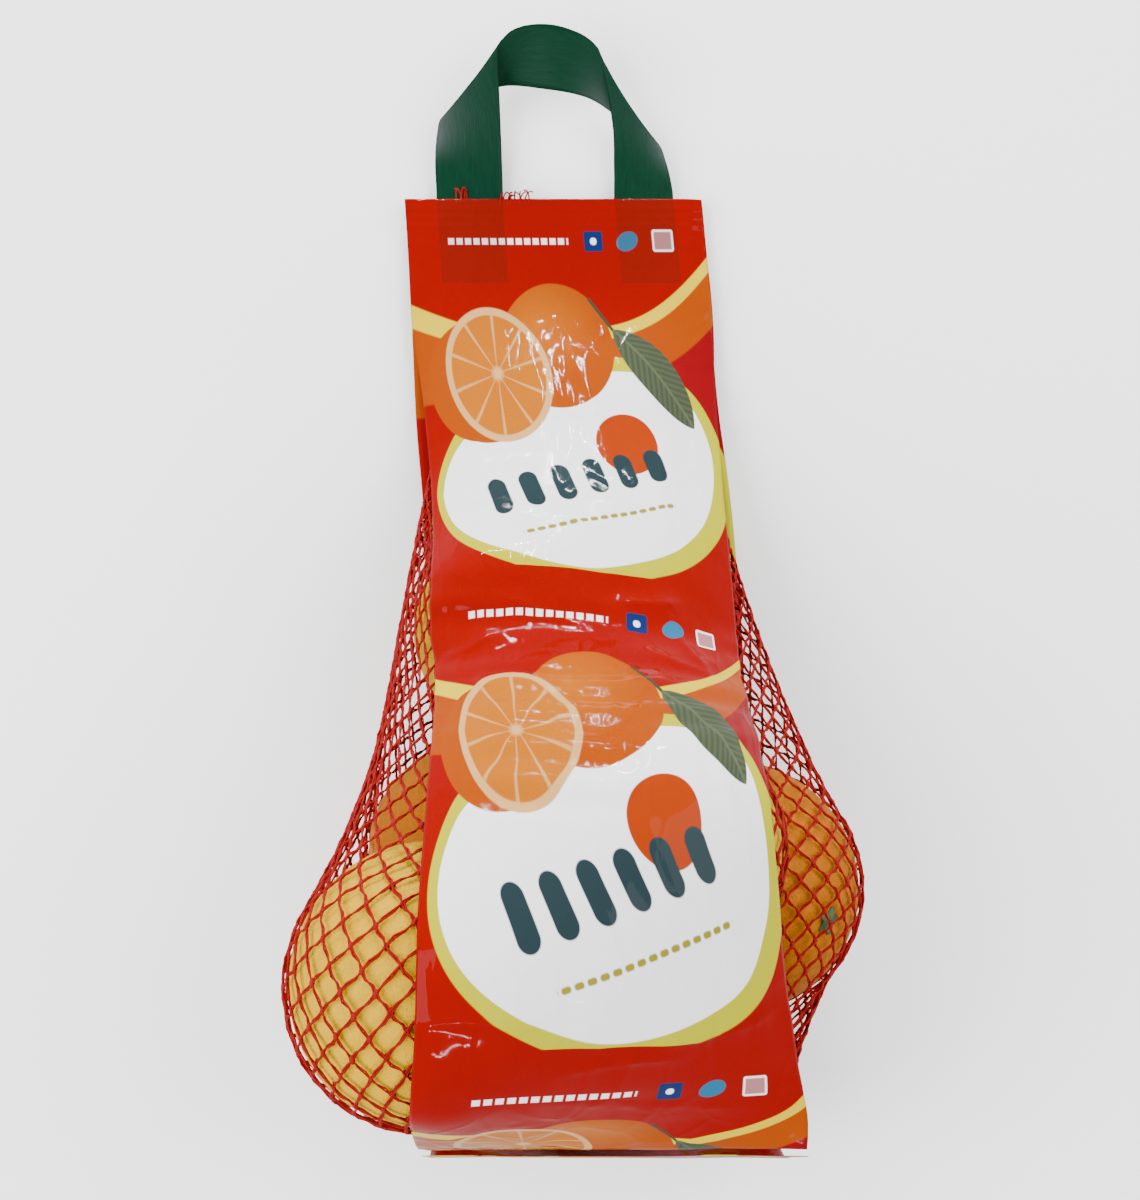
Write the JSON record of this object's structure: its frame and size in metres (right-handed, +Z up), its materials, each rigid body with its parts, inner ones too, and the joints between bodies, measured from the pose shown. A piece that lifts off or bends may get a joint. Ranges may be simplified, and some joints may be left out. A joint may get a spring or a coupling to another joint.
{
  "type": "net bag of oranges",
  "caption": "Knitted net bag of oranges with a printed film strip on the front, a welded seam and hem, and a flat tape handle, lying on its back.",
  "frame": {"origin": "middle of the underside, on the surface the bag lies on", "axes": "+Y along the bag from the hem to the handle, +Z up, out of the front film, +X across the bag to the right of the print"},
  "size_m": [0.1632, 0.3756, 0.1393],
  "materials": {
    "netting": "thin twisted polyethylene yarn",
    "film": "printed glossy film",
    "tape": "satin ribbed tape",
    "fruit": "pitted waxy peel"
  },
  "bodies": {
    "root": {"filled_net": "netting", "front_film": "film", "back_film": "film", "handle": "tape"}
  },
  "joints": []
}
